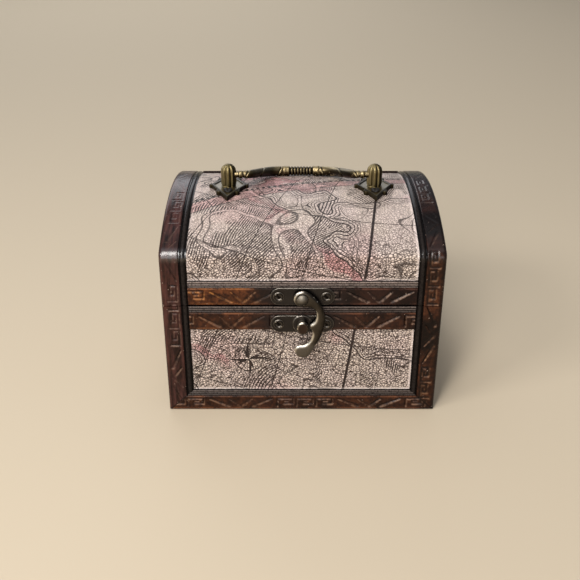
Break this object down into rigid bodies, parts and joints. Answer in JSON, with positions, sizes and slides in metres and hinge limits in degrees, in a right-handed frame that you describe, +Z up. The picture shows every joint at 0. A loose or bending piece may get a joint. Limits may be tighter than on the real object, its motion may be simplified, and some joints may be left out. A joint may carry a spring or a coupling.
{
  "type": "treasure chest box",
  "caption": "Small treasure chest box with a hinged arched lid, map-print covers, embossed edge strips, a swing-hook latch and a folding bail handle on fluted posts.",
  "frame": {"origin": "centre of the underside, on the surface that the chest stands on", "axes": "+Z up, -Y towards the latch at the front, +X to the right when facing the latch"},
  "size_m": [0.128, 0.1137, 0.1061],
  "materials": {
    "wood": "bare board, matt",
    "map_cover": "pebble-grained sheet with an old-map print",
    "trim": "embossed strip, dark brown, half gloss with worn high spots",
    "antique_brass": "antique brass, darkened in the hollows",
    "lining": "short-pile felt",
    "underside": "felt"
  },
  "bodies": {
    "base": {"back_board": "wood", "back_map": "map_cover", "bottom_board": "wood", "bottom_rail_back": "trim", "bottom_rail_front": "trim", "bottom_rail_left": "trim", "bottom_rail_right": "trim", "corner_back_left": "trim", "corner_back_right": "trim", "corner_front_left": "trim", "corner_front_right": "trim", "floor_lining": "lining", "front_board": "wood", "front_map": "map_cover", "hinge_base_leaf_left": "antique_brass", "hinge_base_leaf_right": "antique_brass", "hinge_base_screws": "antique_brass", "hinge_pins": "antique_brass", "keeper_plate": "antique_brass", "keeper_screws": "antique_brass", "keeper_stud": "antique_brass", "left_board": "wood", "left_map": "map_cover", "right_board": "wood", "right_map": "map_cover", "top_rail_back": "trim", "top_rail_front": "trim", "top_rail_left": "trim", "top_rail_right": "trim", "underside_cover": "underside", "wall_lining": "lining"},
    "lid": {"handle_post_left": "antique_brass", "handle_post_right": "antique_brass", "handle_screws": "antique_brass", "hinge_lid_leaf_left": "antique_brass", "hinge_lid_leaf_right": "antique_brass", "hinge_lid_screws": "antique_brass", "latch_plate": "antique_brass", "latch_rivet": "antique_brass", "latch_screws": "antique_brass", "lid_back_board": "wood", "lid_band_left": "trim", "lid_band_right": "trim", "lid_edge_strip": "trim", "lid_front_board": "wood", "lid_left_end": "wood", "lid_left_map": "map_cover", "lid_lining": "lining", "lid_map": "map_cover", "lid_rail_back": "trim", "lid_rail_front": "trim", "lid_rail_left": "trim", "lid_rail_right": "trim", "lid_right_end": "wood", "lid_right_map": "map_cover", "lid_top_panel": "wood"},
    "bail": {"bail": "antique_brass"},
    "hook": {"hook": "antique_brass"}
  },
  "joints": [
    {"name": "lid_hinge", "type": "hinge", "parent": "base", "child": "lid", "pos_m": [0, 0.05415, 0.0576], "axis": [-1, 0, 0], "range_deg": [0, 105]},
    {"name": "bail_swing", "type": "hinge", "parent": "lid", "child": "bail", "pos_m": [0, 0.0022, 0.10058], "axis": [1, 0, 0], "range_deg": [0, 210]},
    {"name": "hook_swing", "type": "hinge", "parent": "lid", "child": "hook", "pos_m": [0, -0.05405, 0.063], "axis": [0, -1, 0], "range_deg": [0, 100]}
  ]
}
